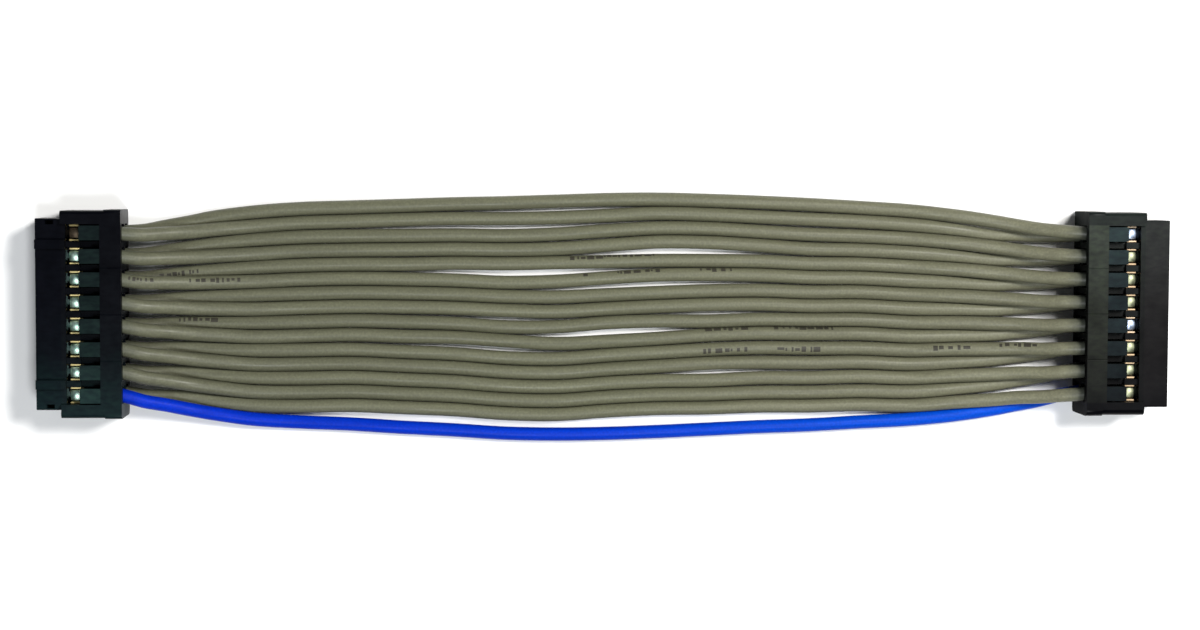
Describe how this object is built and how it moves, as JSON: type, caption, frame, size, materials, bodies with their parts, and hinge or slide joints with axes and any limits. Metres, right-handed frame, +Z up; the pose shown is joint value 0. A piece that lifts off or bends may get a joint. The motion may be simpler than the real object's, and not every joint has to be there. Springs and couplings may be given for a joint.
{
  "type": "flat wire cable assembly",
  "caption": "Short flat cable of loose insulated wires lying side by side, one edge wire blue, with a black double-row crimp socket connector on each end",
  "frame": {"origin": "bottom centre of the two connectors, on the surface that they and the wires lie on", "axes": "+X along the cable to the connector whose ribbed face is down, +Y across the wires to the grey edge wire, +Z up"},
  "size_m": [0.0984, 0.0219, 0.005],
  "materials": {
    "housing": "moulded black nylon, slightly satin",
    "insulation_grey": "olive grey PVC, satin",
    "insulation_blue": "royal blue PVC, satin",
    "contact": "tin-plated phosphor bronze sheet",
    "conductor": "tinned copper strand"
  },
  "bodies": {
    "root": {"housing_left": "housing", "housing_right": "housing", "wire_01": "insulation_grey", "wire_02": "insulation_grey", "wire_03": "insulation_grey", "wire_04": "insulation_grey", "wire_05": "insulation_grey", "wire_06": "insulation_grey", "wire_07": "insulation_grey", "wire_08": "insulation_grey", "wire_09": "insulation_grey", "wire_10": "insulation_grey", "wire_11": "insulation_grey", "wire_12": "insulation_grey", "wire_13": "insulation_grey", "wire_14": "insulation_grey", "wire_15": "insulation_grey", "wire_16": "insulation_blue", "contact_left_01": "contact", "contact_left_02": "contact", "contact_left_03": "contact", "contact_left_04": "contact", "contact_left_05": "contact", "contact_left_06": "contact", "contact_left_07": "contact", "contact_left_08": "contact", "contact_left_09": "contact", "contact_left_10": "contact", "contact_left_11": "contact", "contact_left_12": "contact", "contact_left_13": "contact", "contact_left_14": "contact", "contact_left_15": "contact", "contact_left_16": "contact", "contact_right_01": "contact", "contact_right_02": "contact", "contact_right_03": "contact", "contact_right_04": "contact", "contact_right_05": "contact", "contact_right_06": "contact", "contact_right_07": "contact", "contact_right_08": "contact", "contact_right_09": "contact", "contact_right_10": "contact", "contact_right_11": "contact", "contact_right_12": "contact", "contact_right_13": "contact", "contact_right_14": "contact", "contact_right_15": "contact", "contact_right_16": "contact", "conductors_odd": "conductor", "conductors_even": "conductor"}
  },
  "joints": []
}
